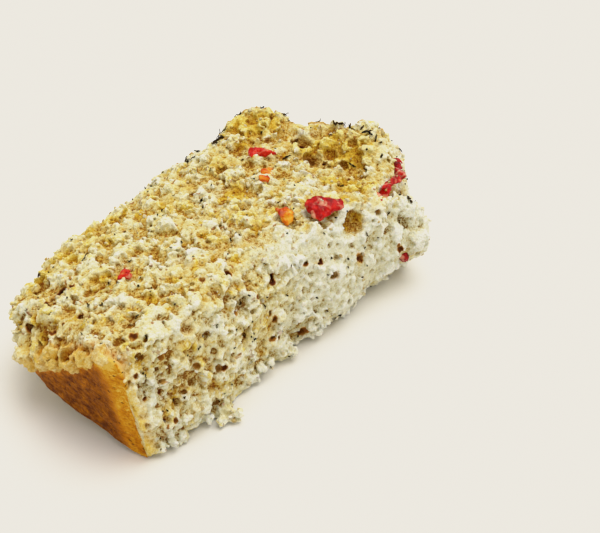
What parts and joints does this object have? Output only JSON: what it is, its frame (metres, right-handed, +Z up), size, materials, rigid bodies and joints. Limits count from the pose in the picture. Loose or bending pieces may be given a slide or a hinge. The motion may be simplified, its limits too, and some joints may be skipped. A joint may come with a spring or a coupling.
{
  "type": "torn chunk of beer bread",
  "caption": "Hand-torn chunk of herbed beer bread lying on its flat side, with base crust at one end, an open crumb and bits of dried tomato.",
  "frame": {"origin": "centre of the bounding box in X and Y, on the flat underside, which is the lowest plane", "axes": "+X along the chunk from the smooth base crust to the lumpy herbed top crust, +Y to the back, away from the torn front face, +Z up from the flat underside"},
  "size_m": [0.1094, 0.071, 0.0311],
  "materials": {
    "crumb": "moist open bread crumb, pale cream on the tips and golden brown in the holes, matte",
    "base_crust": "thin baked crust, golden brown with darker streaks, slight oily sheen",
    "herb_crust": "lumpy baked top crust under dark dried herbs",
    "herb": "dry dark green to black herb flakes",
    "tomato": "moist wrinkled dried tomato skin, bright to dark red, glossy",
    "tomato_orange": "moist orange-red tomato flesh, glossy"
  },
  "bodies": {
    "root": {"bread": "crumb", "tomato_ridge": "tomato", "tomato_side": "tomato", "tomato_top": "tomato", "tomato_orange": "tomato_orange"}
  },
  "joints": []
}
